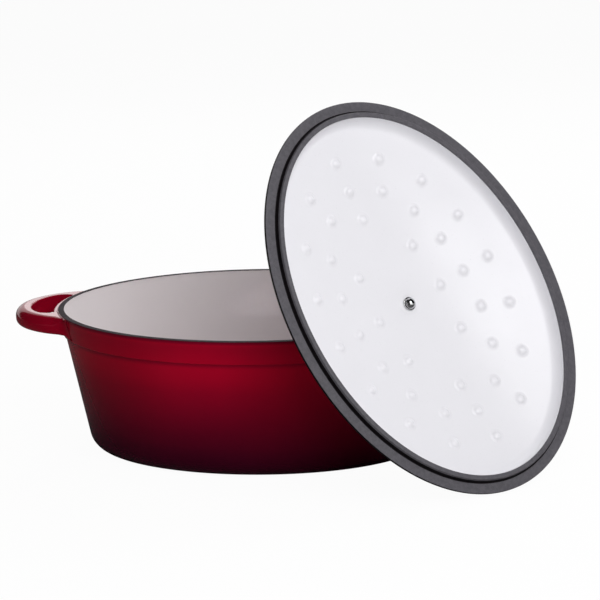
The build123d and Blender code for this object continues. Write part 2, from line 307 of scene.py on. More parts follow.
def build(name: str, skins: Sequence[Skin], materials: Sequence[bpy.types.Material],
          place: Matrix | None = None) -> bpy.types.Object:
    """Makes one object of closed skins, with its place in its mesh and the object at the origin.

    Args:
        name: name of the piece.
        skins: the closed surfaces it is made of.
        materials: one for each slot that the skins' zones number.
        place: where its own frame stands in the row's frame.

    Returns:
        The object, linked to the scene.
    """
    turn = np.array(place or Matrix.Identity(4))
    points, tones, corners, starts, zones, first, corner_count = [], [], [], [], [], 0, 0
    for skin in skins:
        row, start, zone = skin.faces()
        points.append(skin.points() @ turn[:3, :3].T + turn[:3, 3])
        tones.append(skin.tones())
        corners.append(row + first)
        starts.append(start + corner_count)
        zones.append(zone)
        first, corner_count = first + len(points[-1]), corner_count + len(row)
    points, corners, starts = np.vstack(points), np.concatenate(corners), np.concatenate(starts)
    mesh = bpy.data.meshes.new(name)
    mesh.vertices.add(len(points))
    mesh.vertices.foreach_set("co", points.astype(np.float32).ravel())
    mesh.loops.add(len(corners))
    mesh.loops.foreach_set("vertex_index", corners.astype(np.int32))
    mesh.polygons.add(len(starts))
    mesh.polygons.foreach_set("loop_start", starts.astype(np.int32))
    mesh.update(calc_edges=True)
    mesh.polygons.foreach_set("use_smooth", np.ones(len(starts), bool))
    mesh.polygons.foreach_set("material_index", np.concatenate(zones).astype(np.int32))
    tone = mesh.attributes.new("tone", "FLOAT", "POINT")
    tone.data.foreach_set("value", np.concatenate(tones).astype(np.float32))
    for material in materials:
        mesh.materials.append(material)
    mesh.validate()
    return stood(name, mesh)


# ---------------------------------------------------------------- shader graphs
class Graph:
    """Short words for filling a node tree."""

    def __init__(self, tree: bpy.types.NodeTree) -> None:
        """Keeps the tree that the nodes go into."""
        self.tree = tree

    @classmethod
    def fresh(cls, owner: bpy.types.Material | bpy.types.World) -> "Graph":
        """Graph of a material or a world whose own nodes are cleared away.

        Args:
            owner: material or world that is to be filled.

        Returns:
            Its graph.
        """
        owner.use_nodes = True
        owner.node_tree.nodes.clear()
        return cls(owner.node_tree)

    def add(self, kind: str, inputs: Inputs | None = None, **settings: object) -> bpy.types.Node:
        """Adds a node.

        Args:
            kind: node type without its "ShaderNode".
            inputs: for each input socket, a value or the output that feeds it.
            **settings: the node's own properties.

        Returns:
            The node.
        """
        node = self.tree.nodes.new(f"ShaderNode{kind}")
        for setting, value in settings.items():
            setattr(node, setting, value)
        for socket, value in (inputs or {}).items():
            if isinstance(value, Socket):
                self.tree.links.new(value, node.inputs[socket])
            else:
                node.inputs[socket].default_value = value
        return node

    def maths(self, operation: str, *values: object) -> Socket:
        """Output of a Math node for one or two values or sockets."""
        return self.add("Math", dict(enumerate(values)), operation=operation).outputs[0]

    def blend(self, share: object, first: object, second: object) -> Socket:
        """Colour that goes from first to second as share goes from 0 to 1."""
        return self.add("Mix", {0: share, 6: first, 7: second}, data_type="RGBA").outputs[2]

    def spread(self, value: Socket, low: float, high: float, to_low: object, to_high: object) -> Socket:
        """Value carried from the span low to high into to_low to to_high, and held between its ends."""
        return self.add("MapRange", dict(enumerate((value, low, high, to_low, to_high)))).outputs[0]

    def noise(self, where: Socket, scale: object, detail: float = 2.0, rough: float = 0.5) -> Socket:
        """Value of a Noise texture, about 0.5 in the middle."""
        inputs = {"Vector": where, "Scale": scale, "Detail": detail, "Roughness": rough}
        return self.add("TexNoise", inputs).outputs[0]

    def bump(self, height: Socket, depth: object) -> Socket:
        """Normal of a bump whose full height stands for a depth."""
        return self.add("Bump", {"Distance": depth, "Height": height}).outputs[0]

    def where(self) -> Socket:
        """Place on the object."""
        return self.add("TexCoord").outputs["Object"]

    def tone(self) -> Socket:
        """Tone that the skin gives each point."""
        return self.add("Attribute", attribute_name="tone").outputs["Fac"]

    def shades(self, share: Socket, stops: Sequence[tuple[float, Colour]]) -> Socket:
        """Colour that a share picks from a smooth ramp.

        Args:
            share: value from 0 to 1.
            stops: (place, colour) in order.

        Returns:
            The ramp's colour output.
        """
        node = self.add("ValToRGB", {0: share})
        colours = node.color_ramp
        colours.interpolation = "B_SPLINE"
        while len(colours.elements) < len(stops):
            colours.elements.new(1.0)
        for element, (place, colour) in zip(colours.elements, stops):
            element.position = place
            element.color = (*colour, 1.0)
        return node.outputs[0]

    def seen(self) -> Socket:
        """1 for what the camera sees, directly, mirrored or through glass, and 0 for what lights the object.

        Returns:
            The output of a Math node.
        """
        path = self.add("LightPath").outputs
        shown = self.maths("MAXIMUM", path["Is Camera Ray"], path["Is Glossy Ray"])
        return self.maths("MAXIMUM", shown, path["Is Transmission Ray"])


class Effect(Graph):
    """Node group for a surface effect, filled by its maker and then closed."""

    def __init__(self, name: str, defaults: dict[str, float | tuple[float, ...]]) -> None:
        """Starts the group.

        Args:
            name: name of the group.
            defaults: the default of each input beside Where; four numbers make a colour input.
        """
        super().__init__(bpy.data.node_groups.new(name, "ShaderNodeTree"))
        sockets = {"Where": ("Vector", (0, 0, 0))}
        for title, value in defaults.items():
            sockets[title] = ("Color" if isinstance(value, tuple) else "Float", value)
        for title, (kind, value) in sockets.items():
            socket = self.tree.interface.new_socket(title, in_out="INPUT", socket_type=f"NodeSocket{kind}")
            socket.default_value = value
        self.given = self.tree.nodes.new("NodeGroupInput").outputs

    def closed(self, results: dict[str, tuple[str, Socket]]) -> bpy.types.NodeTree:
        """Gives the group its outputs.

        Args:
            results: for each output, its socket kind and what feeds it.

        Returns:
            The group.
        """
        for title, (kind, _) in results.items():
            self.tree.interface.new_socket(title, in_out="OUTPUT", socket_type=f"NodeSocket{kind}")
        end = self.tree.nodes.new("NodeGroupOutput")
        for title, (_, result) in results.items():
            self.tree.links.new(result, end.inputs[title])
        return self.tree


class Effects:
    """Surface effects that several finishes share, each a node group made once."""

    def __init__(self) -> None:
        """Makes the four groups."""
        self.ripple = self._glaze_ripple()
        self.grit = self._casting_grit()
        self.haze = self._handling_haze()
        self.tone = self._fired_tone()

    @staticmethod
    def _glaze_ripple() -> bpy.types.NodeTree:
        """Normal of fired glass: the casting's slow waves and the glass's fine orange peel, as one bump.

        Returns:
            The group.
        """
        group = Effect("glaze_ripple", {
            "Wave Scale": 40.0, "Peel Scale": 320.0, "Peel Share": 0.3, "Depth": 0.0001})
        where = group.given["Where"]
        wave = group.noise(where, group.given["Wave Scale"], 1.0)
        fine = group.noise(where, group.given["Peel Scale"])
        peel = group.maths("MULTIPLY", fine, group.given["Peel Share"])
        bump = group.bump(group.maths("ADD", wave, peel), group.given["Depth"])
        return group.closed({"Normal": ("Vector", bump)})

    @staticmethod
    def _casting_grit() -> bpy.types.NodeTree:
        """Grain of a thin matt ground coat: a mask of small specks, and the normal of their bump.

        Returns:
            The group.
        """
        group = Effect("casting_grit", {"Scale": 1500.0, "Depth": 0.00004})
        where, scale = group.given["Where"], group.given["Scale"]
        grain = group.noise(where, scale, 3.0, 0.6)
        coarse = group.noise(where, group.maths("MULTIPLY", scale, 0.2))
        both = group.maths("MULTIPLY", group.maths("ADD", grain, coarse), 0.5)
        mask = group.spread(both, 0.4, 0.62, 0.0, 1.0)
        bump = group.bump(both, group.given["Depth"])
        return group.closed({"Mask": ("Float", mask), "Normal": ("Vector", bump)})

    @staticmethod
    def _handling_haze() -> bpy.types.NodeTree:
        """Roughness between Clean and Hazy, as soft wiped patches leave it.

        Returns:
            The group.
        """
        group = Effect("handling_haze", {"Scale": 25.0, "Clean": 0.1, "Hazy": 0.2})
        patch = group.noise(group.given["Where"], group.given["Scale"], 4.0, 0.6)
        mapped = group.spread(patch, 0.35, 0.7, group.given["Clean"], group.given["Hazy"])
        return group.closed({"Roughness": ("Float", mapped)})

    @staticmethod
    def _fired_tone() -> bpy.types.NodeTree:
        """Colour with the slight clouding and pin specks that firing leaves in it.

        Returns:
            The group.
        """
        group = Effect("fired_tone", {"Color": (1.0, 1.0, 1.0, 1.0), "Cloud": 0.05, "Specks": 0.1})
        cloud = group.maths("SUBTRACT", group.noise(group.given["Where"], 18.0, 3.0, 0.55), 0.5)
        shade = group.maths("MULTIPLY", group.maths("MULTIPLY", cloud, group.given["Cloud"]), 2.0)
        fine = group.spread(group.noise(group.given["Where"], 900.0, 1.0), 0.68, 0.78, 0.0, 1.0)
        speck = group.maths("MULTIPLY", fine, group.given["Specks"])
        value = group.maths("SUBTRACT", group.maths("ADD", shade, 1.0), speck)
        tinted = group.add("HueSaturation", {"Value": value, "Color": group.given["Color"]})
        return group.closed({"Color": ("Color", tinted.outputs[0])})


# ---------------------------------------------------------------- finishes
class Paint(Graph):
    """Graph of a material, which places the shared effects on the object."""

    def __init__(self, material: bpy.types.Material, effects: Effects) -> None:
        """Clears the material's nodes and keeps the effects.

        Args:
            material: material that is to be filled.
            effects: the shared effects.
        """
        super().__init__(Graph.fresh(material).tree)
        self.effects = effects
        self.place = self.where()

    def effect(self, group: bpy.types.NodeTree, inputs: Inputs) -> bpy.types.NodeOutputs:
        """Outputs of a shared effect, given its inputs beside Where."""
        return self.add("Group", {"Where": self.place} | inputs, node_tree=group).outputs

    def fired(self, colour: object, cloud: float, specks: float) -> Socket:
        """A colour as the firing leaves it."""
        return self.effect(self.effects.tone, {"Color": colour, "Cloud": cloud, "Specks": specks})[0]

    def haze(self, clean: float, hazy: float, scale: float) -> Socket:
        """Roughness of a surface with wiped patches."""
        return self.effect(self.effects.haze, {"Scale": scale, "Clean": clean, "Hazy": hazy})[0]


@dataclass(frozen=True)
class Finish:
    """Material of one Principled surface, whose inputs each kind of finish works out."""

    name: str

    def make(self, effects: Effects) -> bpy.types.Material:
        """Builds the material from the shared effects.

        Args:
            effects: the shared effects.

        Returns:
            The material.
        """
        material = bpy.data.materials.new(self.name)
        paint = Paint(material, effects)
        shader = paint.add("BsdfPrincipled", self.surface(paint))
        paint.add("OutputMaterial", {"Surface": shader.outputs[0]})
        return material

    def surface(self, paint: Paint) -> Inputs:
        """Values and sockets for the shader's inputs."""
        raise NotImplementedError


@dataclass(frozen=True)
class Firing:
    """How an enamel came out of the kiln.

    Attributes:
        clean: roughness where it is clean.
        hazy: roughness in its wiped patches.
        depth: full height of its ripple.
        wave_scale: how close its waves stand.
        peel_scale: how close its orange peel stands.
        peel_share: height of the orange peel beside that of the waves.
        cloud: how much its colour clouds.
        specks: how dark its pin specks are.
        haze_scale: how close its wiped patches stand.
    """

    clean: float
    hazy: float
    depth: float
    wave_scale: float
    peel_scale: float
    peel_share: float
    cloud: float
    specks: float
    haze_scale: float = 25.0

    def surface(self, paint: Paint, colour: object) -> Inputs:
        """Inputs of the shader for an enamel of a colour.

        Args:
            paint: graph of the material.
            colour: its colour before firing, or a socket.

        Returns:
            Values and sockets for the shader's inputs.
        """
        ripple = {"Wave Scale": self.wave_scale, "Peel Scale": self.peel_scale,
                  "Peel Share": self.peel_share, "Depth": self.depth}
        return {"Base Color": paint.fired(colour, self.cloud, self.specks),
                "Roughness": paint.haze(self.clean, self.hazy, self.haze_scale),
                "Normal": paint.effect(paint.effects.ripple, ripple)[0], "IOR": GLASS_IOR}


RED_FIRING = Firing(0.10, 0.20, 0.00008, 30.0, 260.0, 0.16, 0.06, 0.10)
PALE_FIRING = Firing(0.16, 0.26, 0.00005, 35.0, 300.0, 0.2, 0.02, 0.06)


@dataclass(frozen=True)
class ShadedGlaze(Finish):
    """Clear coloured enamel fired over a dark ground, whose colour follows the piece's tone; on the pot that
    tone also carries painted shade.
    """

    stops: tuple[tuple[float, Colour], ...]
    firing: Firing = RED_FIRING
    drift: float = 0.10
    drift_scale: float = 14.0
    tint: Colour = (0.40, 0.03, 0.08)

    def surface(self, paint: Paint) -> Inputs:
        """A ramp of the tone, which drifts a little, as the colour, and a tinted gloss.

        Args:
            paint: graph of the material.

        Returns:
            Values and sockets for the shader's inputs.
        """
        wander = paint.maths("SUBTRACT", paint.noise(paint.place, self.drift_scale, 3.0), 0.5)
        tone = paint.maths("ADD", paint.tone(), paint.maths("MULTIPLY", wander, self.drift))
        enamel = self.firing.surface(paint, paint.shades(tone, self.stops))
        return enamel | {"Specular Tint": (*self.tint, 1.0)}


@dataclass(frozen=True)
class PlainGlaze(Finish):
    """Opaque enamel of one colour, slightly clouded, glossy or satin."""

    colour: Colour
    firing: Firing = PALE_FIRING

    def surface(self, paint: Paint) -> Inputs:
        """The fired enamel of its colour."""
        return self.firing.surface(paint, (*self.colour, 1.0))


@dataclass(frozen=True)
class BareEdge(Finish):
    """Matt black ground coat that is left on the rim and the lid's seat, where no colour is sprayed."""

    dark: Colour = (0.075, 0.071, 0.082)
    light: Colour = (0.105, 0.100, 0.113)
    rough: float = 0.46
    dry: float = 0.58
    gloss: float = 0.35
    haze_scale: float = 60.0
    grain_scale: float = 1800.0
    depth: float = 0.00002

    def surface(self, paint: Paint) -> Inputs:
        """Two blacks mixed by the grain, which also makes the bump, and a weak gloss.

        Args:
            paint: graph of the material.

        Returns:
            Values and sockets for the shader's inputs.
        """
        grit = paint.effect(paint.effects.grit, {"Scale": self.grain_scale, "Depth": self.depth})
        return {"Base Color": paint.blend(grit["Mask"], (*self.dark, 1.0), (*self.light, 1.0)),
                "Roughness": paint.haze(self.rough, self.dry, self.haze_scale),
                "Normal": grit["Normal"], "Specular IOR Level": self.gloss}


@dataclass(frozen=True)
class WorkedMetal(Finish):
    """Bare metal with the fine marks of its polishing."""

    colour: Colour
    rough: float = 0.08
    worn: float = 0.2
    haze_scale: float = 120.0
    cloud: float = 0.03
    mark_scale: float = 900.0
    depth: float = 0.000004

    def surface(self, paint: Paint) -> Inputs:
        """The metal's colour, slightly clouded, with worn patches and polishing marks.

        Args:
            paint: graph of the material.

        Returns:
            Values and sockets for the shader's inputs.
        """
        marks = paint.noise(paint.place, self.mark_scale, 3.0, 0.7)
        return {"Base Color": paint.fired((*self.colour, 1.0), self.cloud, 0.0),
                "Roughness": paint.haze(self.rough, self.worn, self.haze_scale),
                "Normal": paint.bump(marks, self.depth), "Metallic": 1.0}


class Finishes:
    """Every finish of the casserole, made once."""

    def __init__(self) -> None:
        """Makes the materials from the shared effects."""
        effects = Effects()
        deep, wine = (0.030, 0.0018, 0.0100), (0.055, 0.0016, 0.0120)
        red, bright = (0.215, 0.0012, 0.0125), (0.34, 0.0016, 0.0155)
        # the pot's ramp, darkest at the base and brightest at 0.82 of the height: partly the enamel's own
        # fade, partly painted shade of the dim lower wall
        pot_fade_and_shade = ((0.0, deep), (0.22, wine), (0.62, red), (0.82, bright), (1.0, red))
        lid_reds = ((0.0, wine), (0.35, red), (1.0, bright))
        satin = replace(PALE_FIRING, clean=0.3, hazy=0.42)
        self.pot_outside = ShadedGlaze("red_glaze_pot", pot_fade_and_shade).make(effects)
        self.lid_outside = ShadedGlaze("red_glaze_lid", lid_reds).make(effects)
        self.pot_inside = PlainGlaze("cream_glaze_pot", (0.775, 0.732, 0.742), satin).make(effects)
        self.lid_inside = PlainGlaze("white_glaze_lid", (0.80, 0.793, 0.83)).make(effects)
        self.seat = BareEdge("ground_seat").make(effects)
        self.rim = BareEdge("matt_black_rim", (0.016, 0.010, 0.0135), (0.033, 0.023, 0.028),
                            gloss=0.02).make(effects)
        # near-black glaze that paints shade on the lid's seat beside its ridge, down the ridge's outer side
        # and on the flange's outer side
        self.painted_shade_black = BareEdge("painted_shade_glaze", (0.003, 0.002, 0.003), (0.008, 0.006, 0.007),
                                   0.3, 0.4, gloss=0.12).make(effects)
        self.steel = WorkedMetal("polished_steel_knob", (0.62, 0.61, 0.60), rough=0.12).make(effects)
        self.chrome = WorkedMetal("chrome_screw", (0.64, 0.64, 0.65), rough=0.04, worn=0.08).make(effects)
        self.brass = WorkedMetal("turned_brass_bush", (0.68, 0.52, 0.26), rough=0.2, worn=0.35,
                                 depth=0.0).make(effects)


# ---------------------------------------------------------------- pot
@dataclass
class Pot:
    """Oval pot with its collar and flat rim, and the two loop handles cast with it."""

    rim_half: Pair = (0.155, 0.11625)
    height: float = field(default_factory=lambda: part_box("pot")[1].z)
    tip: float = field(default_factory=lambda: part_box("pot")[1].x)  # reach of the handles from the middle
    wall: float = 0.0042
    base: float = 0.005
    draft: float = radians(10.7)  # lean of the wall
    base_corner: float = 0.015  # radius between the underside and the wall
    floor_corner: float = 0.017  # radius between the floor and the wall
    flat: float = 0.03  # width of the flat run before each closing face
    collar: float = 0.0183
    collar_step: float = 0.0012  # how far the wall steps in under the collar
    collar_rise: float = 0.0003  # height of that step's slope
    collar_eases: Pair = (0.0009, 0.00054)  # radii under the collar and at its lower edge
    rim_eases: Pair = (0.0006, 0.00036)  # radii of the rim's outer and inner edge
    rim_split: float = 0.0002  # how far inside the wall the rim's two lines meet
    black_drop: float = 0.00024  # how far down the rim's outer edge the bare black comes
    black_inner: int = 6  # rings down the rim's inner edge that the bare black covers
    collar_shade: float = 0.35  # how much painted shade darkens the glaze just under the collar's ledge
    collar_shade_half: float = 0.0009  # half height of that painted shade line
    rim_shade: float = 0.68  # how much darker the glaze is beside the rim
    rim_shade_reach: float = 0.0024  # how far down that shade reaches
    gap: float = 0.004  # longest distance between rings
    arc_steps: int = 10  # parts of each rounded corner
    around: int = 512

    def wall_inset(self, up: float | Array) -> float | Array:
        """How far the outer side has drawn in at a height, from the rim's outline."""
        return (self.height - up) * tan(self.draft)

    def closing(self, inset: float, up: float) -> Array:
        """Rings that close a flat face inside the oval at an inset and a height."""
        return closing_rings((self.rim_half[0] - inset, self.rim_half[1] - inset), up, self.around)

    def casting(self) -> Skin:
        """Skin of the pot without its handles.

        One line of (inset, height) runs from the underside out round the base corner, up the wall, over the
        collar and the rim, down inside and in across the floor. Each of its points is an oval ring whose
        half axes are the rim's less the inset. Rings that shrink to the middle close the underside and the
        floor. The tone is the height as a share of the pot's, whose fall towards the base is partly the
        enamel's own fade and partly painted shade, less a bell of painted shade under the collar and
        another at the rim.

        Returns:
            The skin.
        """
        top, band = self.height, self.height - self.collar
        out = self.wall_inset(0) + self.collar_step
        inner = self.wall_inset(self.base) + self.collar_step + self.wall
        split = self.wall + self.rim_split
        outside = rounded([
            (out + self.flat, 0, 0), (out, 0, self.base_corner),
            (self.wall_inset(band) + self.collar_step, band, self.collar_eases[0]),
            (self.wall_inset(band), band + self.collar_rise, self.collar_eases[1]),
            (0, top, self.rim_eases[0]), (split, top, 0)], self.arc_steps)
        inside = rounded([
            (split, top, 0), (self.wall, top, self.rim_eases[1]),
            (inner, self.base, self.floor_corner), (inner + self.flat, self.base, 0)], self.arc_steps)
        outside, inside = spaced(outside[1:], self.gap), spaced(inside[1:-1], self.gap)
        line = np.vstack([outside, inside])
        under, floor = self.closing(line[0, 0], 0.0)[::-1], self.closing(line[-1, 0], self.base)
        rings = np.concatenate([under, inset_rings(self.rim_half, line, self.around), floor])
        rim_inside = len(under) + len(outside)
        black_first = len(under) + int(np.argmax(line[:, 1] >= top - self.black_drop))
        zones = np.full(len(rings), Zone.INNER_GLAZE.value)
        zones[:rim_inside] = Zone.OUTER_GLAZE.value
        zones[black_first:rim_inside + self.black_inner] = Zone.BARE_EDGE.value
        level = rings[..., 2]
        # painted shade: a dark line just under the collar's ledge, where its shadow would fall
        shade_under_collar = self.collar_shade * np.exp(-(((level - band + self.collar_shade_half) / self.collar_shade_half) ** 2))
        thin = self.rim_shade * np.exp(-(((top - level) / self.rim_shade_reach) ** 2))
        # tone from the height: darker towards the base, partly the enamel's own fade and partly painted shade
        return Skin(rings, zones, tone=level / top - shade_under_collar - thin)

    def build(self, finishes: Finishes) -> list[bpy.types.Object]:
        """Makes the pot's pieces and dresses them.

        Args:
            finishes: every finish of the casserole.

        Returns:
            The pieces.
        """
        slots = [finishes.pot_outside, finishes.pot_inside, finishes.rim]
        body = build("pot_casting", [self.casting()], slots)
        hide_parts("pot")
        pieces = [body]
        for side, name in ((-1, "handle_left"), (1, "handle_right")):
            pieces.append(build(name, [LoopHandle(self, side).loop()], [finishes.pot_outside]))
        for piece in pieces:
            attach(piece, "pot")
        return pieces


@dataclass
class LoopHandle:
    """Loop handle at one end of the pot, round its grip hole, with its inner side sunk in the wall."""

    pot: Pot
    side: int  # -1 or 1, the end it is at
    lug_half: Pair = (0.062, 0.0505)  # half axes of the lug's oval
    thick: float = 0.0134
    drop: float = 0.0014  # how far its top is below the rim
    bar: float = 0.0126  # width of the bar at the tip
    shoulder: float = 0.007  # radius of the upper outer edge
    edge: float = 0.0045  # radius of the lower outer edge
    root: float = 0.011
    land: float = 0.0036  # width of the metal between the wall and the grip hole
    grip_length: float = 0.057
    grip_radius: float = 0.036  # radius of its outer side
    grip_corner: float = 0.005  # radius of its corners
    grip_edge: float = 0.0014  # radius of its rounded edges
    heart: float = 0.0085  # how far inside the bar the outlines are seen from
    dip: float = 0.0002  # how deep the outline goes into the wall after the fillet
    dip_share: float = 0.96  # share of the way to the wall's middle where it does
    sunk: float = 0.0032  # how much deeper it then goes
    sunk_share: float = 0.80  # share of the way where it is all in
    skin_depth: float = 0.00006  # how deep the fillet ends in the wall
    flare_top: float = 0.0012  # radius of the round that meets the rim's side
    flare_under: float = 0.0034  # radius of the round that meets the wall below
    # start inside the wall, run and least share of the edges' growing radii
    fade: tuple[float, float, float] = (0.002, 0.010, 0.06)
    counts: tuple[int, int] = (110, 26)  # points on the lug and on the fillet
    # points on the buried side: from and to this share of the way to its middle, and how many
    buried: tuple[tuple[float, float, int], ...] = ((0.995, 0.95, 8), (0.93, 0.0, 34))
    grip_points: int = 61  # points on each side of the hole
    search: int = 2400  # points on each oval that the fillet's centre is looked for from
    search_from: float = 0.02  # angle beside the tip that the search leaves out
    flats: int = 14  # rings across each flat side
    steps: int = 10

    @property
    def middle(self) -> float:
        """Height of the middle of the handle's thickness."""
        return self.pot.height - self.drop - self.thick / 2

    def oval(self, half: Pair, middle: float, where: Array) -> tuple[Array, Array]:
        """Points of an oval, and the same points moved out by the root radius.

        Args:
            half: its half axes.
            middle: x of its middle.
            where: angles of the points.

        Returns:
            The points (x, y) and the moved points.
        """
        spot = np.stack([middle + half[0] * np.cos(where), half[1] * np.sin(where)], -1)
        normal = np.stack([np.cos(where) / half[0], np.sin(where) / half[1]], -1)
        return spot, spot + normal / np.linalg.norm(normal, axis=1)[:, None] * self.root

    def outline(self, level: float) -> Array:
        """Outer outline at the +X end, at one height.

        It follows the lug's oval, runs into the wall's oval by a fillet at each root, and closes along an
        oval sunk in the wall. The fillet's centre is where the two ovals, each offset outwards by the
        fillet's radius, cross, and the outline leaves each oval at the point that the centre was offset from.

        Args:
            level: height, which sets the wall's oval.

        Returns:
            Points (x, y), anticlockwise, the same number at every height.
        """
        t = np.linspace(self.search_from, pi - self.search_from, self.search)
        near = t[t < pi / 3]
        wall = tuple(half - self.pot.wall_inset(level) - self.skin_depth for half in self.pot.rim_half)
        lug_middle = self.pot.tip - self.lug_half[0]
        lug, lug_out = self.oval(self.lug_half, lug_middle, t)
        rim, rim_out = self.oval(wall, 0.0, near)
        apart = np.linalg.norm(lug_out[:, None] - rim_out[None], axis=2)
        i, j = np.unravel_index(apart.argmin(), apart.shape)
        centre = (lug_out[i] + rim_out[j]) / 2
        outer = self.oval(self.lug_half, lug_middle, np.linspace(0, t[i], self.counts[0]))[0]
        fillet = arc_about(centre, lug[i] - centre, rim[j] - centre, self.counts[1])[1:]
        shares = np.concatenate([np.linspace(*run) for run in self.buried])
        depth = (self.sunk * ramp(-shares, -self.dip_share, -self.sunk_share)
                 + self.dip * ramp(-shares, -1, -self.dip_share))
        edge, moved = self.oval(wall, 0.0, near[j] * shares)
        upper = np.vstack([outer, fillet, edge - (moved - edge) / self.root * depth[:, None]])
        return np.vstack([upper, upper[-2:0:-1] * [1, -1]])

    def hole(self) -> Array:
        """Outline of the grip hole at the +X end: an arc outside, straight ends, and an arc that keeps the
        land beside the rim, with rounded corners.

        Returns:
            Points (x, y), anticlockwise.
        """
        end = self.pot.rim_half[1] ** 2 / self.pot.rim_half[0]
        y = np.linspace(-self.grip_length / 2, self.grip_length / 2, self.grip_points)
        outer, inner = (
            np.stack([middle + np.sqrt(radius**2 - y**2), y], -1) for middle, radius in (
                (self.pot.tip - self.bar - self.grip_radius, self.grip_radius),
                (self.pot.rim_half[0] - end, end + self.land)))
        return soften(np.vstack([outer, inner[::-1]]), self.grip_corner)

    def loop(self) -> Skin:
        """Skin of the loop, closed round the grip hole and round its own section.

        Each ring of the grid is the outline at one height. The section starts at the widest point of the
        outer side, goes up a quarter round, in over the top to the hole's quarter round, down the hole, back
        under and up the lower quarter round. A round moves its ring in along the outline's own normals. The
        hole is read at the outline's angles about its heart. Near the wall the top and the underside sweep
        up and down to the rim and to the collar's lower edge in a small concave round.

        Returns:
            The skin.
        """
        half = self.thick / 2
        low, high = self.outline(self.middle - half), self.outline(self.middle + half)
        centre, inner = (low + high) / 2, self.hole()
        heart = [self.pot.tip - self.bar - self.heart, 0.0]
        angle, hole_angle = (np.arctan2(*(ring - heart).T[::-1]) for ring in (centre, inner))
        order = np.argsort(hole_angle)
        hole = np.stack([np.interp(angle, hole_angle[order], inner[order, axis], period=2 * pi)
                         for axis in (0, 1)], -1)
        hole_edge, level_ring = outward(hole) * self.grip_edge, np.ones(len(hole))
        inside, run, least = self.fade
        fade = np.clip((self.outside_wall(centre, self.middle) + inside) / run, least, 1)
        turn = np.linspace(0, pi / 2, self.steps + 1)
        across = np.linspace(0, 1, self.flats + 2)[1:-1]
        plans, heights = [], []
        for sign, outer, size in ((1, high, self.shoulder), (-1, low, self.edge)):
            normal, radius = outward(outer), size * fade
            plan = [outer - normal * (radius * (1 - np.cos(bend)))[:, None] for bend in turn]
            up = [half - radius * (1 - np.sin(bend)) for bend in turn]
            first, last = plan[-1], hole + hole_edge
            plan += [first + (last - first) * share for share in across]
            up += [half * level_ring] * self.flats
            plan += [hole + hole_edge * (1 - np.cos(bend)) for bend in turn[::-1]]
            up += [(half - self.grip_edge * (1 - np.sin(bend))) * level_ring for bend in turn[::-1]]
            plans += plan[::sign]
            heights += [sign * row for row in up[::sign]]
        plan, up = np.array(plans), np.array(heights)
        gap = self.outside_wall(plan, up + self.middle)
        for size, sense in ((self.flare_top, 1), (self.flare_under, -1)):
            short = np.clip(size - np.clip(gap, 0, None), 0, size)
            sweep = size - np.sqrt(size**2 - short**2)
            up = up + sense * sweep * np.clip(sense * up / half, 0, 1) ** 2
        rings = np.concatenate([plan, (up + self.middle)[..., None]], -1)
        rings[..., 0] *= self.side
        return Skin(rings, np.zeros(len(rings), int), looped=True, tone=rings[..., 2] / self.pot.height)

    def outside_wall(self, plan: Array, level: Array | float) -> Array:
        """How far points in plan lie outside the collar at their own heights.

        The level of an oval at a point is the length of (x, y) over its half axes; the distance is nearly
        that level less one, over the level's slope.

        Args:
            plan: points (x, y) in the last axis.
            level: their heights.

        Returns:
            Distances, negative inside.
        """
        inset = self.pot.wall_inset(level)
        long, short = self.pot.rim_half[0] - inset, self.pot.rim_half[1] - inset
        share = np.hypot(plan[..., 0] / long, plan[..., 1] / short)
        return (share - 1) * share / np.hypot(plan[..., 0] / long**2, plan[..., 1] / short**2)


def outward(ring: Array) -> Array:
    """Unit normals of a closed plane outline, each square to the chord between its neighbours.

    Args:
        ring: points (x, y), anticlockwise.

    Returns:
        Normals (x, y), one row each.
    """
    chord = np.roll(ring, -1, 0) - np.roll(ring, 1, 0)
    normal = np.stack([chord[:, 1], -chord[:, 0]], -1)
    return normal / np.linalg.norm(normal, axis=1)[:, None]


def soften(ring: Array, radius: float, count: int = 720) -> Array:
    """A closed outline with its corners eased, by averaging it over a short run of its own length.

    Args:
        ring: points, anticlockwise.
        radius: about the radius that a square corner takes.
        count: points that the outline is given.

    Returns:
        Points at even steps along the outline.
    """
    closed = np.vstack([ring, ring[:1]])
    even, length = evenly(closed, count), np.hypot(*np.diff(closed, axis=0).T).sum()
    reach = max(int(radius * WINDOW / length * count), 1)
    weight = np.hanning(2 * reach + 1)
    beside = (np.arange(count)[:, None] + np.arange(-reach, reach + 1)) % count
    return (even[beside] * (weight / weight.sum())[None, :, None]).sum(1)


